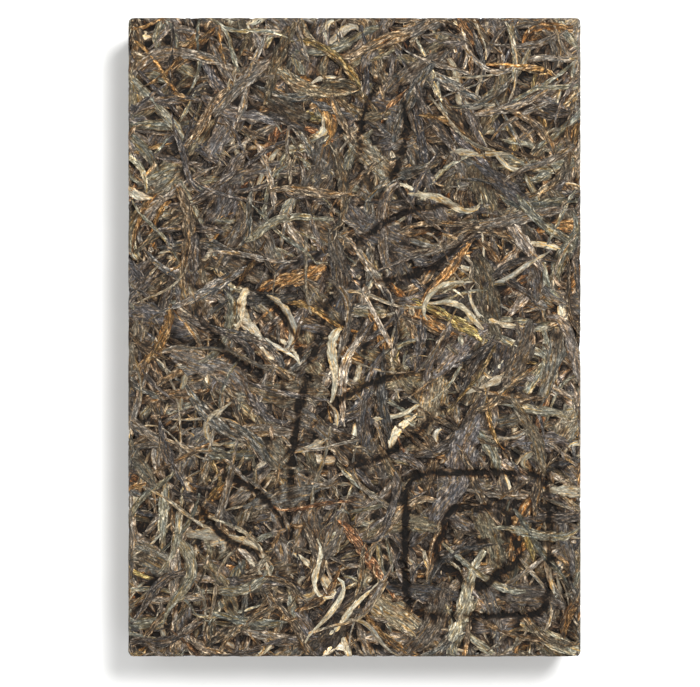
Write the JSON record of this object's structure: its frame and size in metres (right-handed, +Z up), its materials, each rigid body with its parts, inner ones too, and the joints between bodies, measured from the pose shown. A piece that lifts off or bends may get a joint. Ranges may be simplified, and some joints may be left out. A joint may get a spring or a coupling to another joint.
{
  "type": "pu erh tea brick",
  "caption": "Flat rectangular brick of pressed whole-leaf pu erh tea with a shallow pressed sprig and framed flower on top, broken up to brew.",
  "frame": {"origin": "middle of the underside, on the surface that the brick lies on", "axes": "+X across the brick, +Y along its length, towards the end that the sprig points to, +Z up out of the pressed face"},
  "size_m": [0.17, 0.24, 0.03],
  "materials": {
    "pressed_tea": "matte"
  },
  "bodies": {
    "root": {"tea_brick": "pressed_tea"}
  },
  "joints": []
}
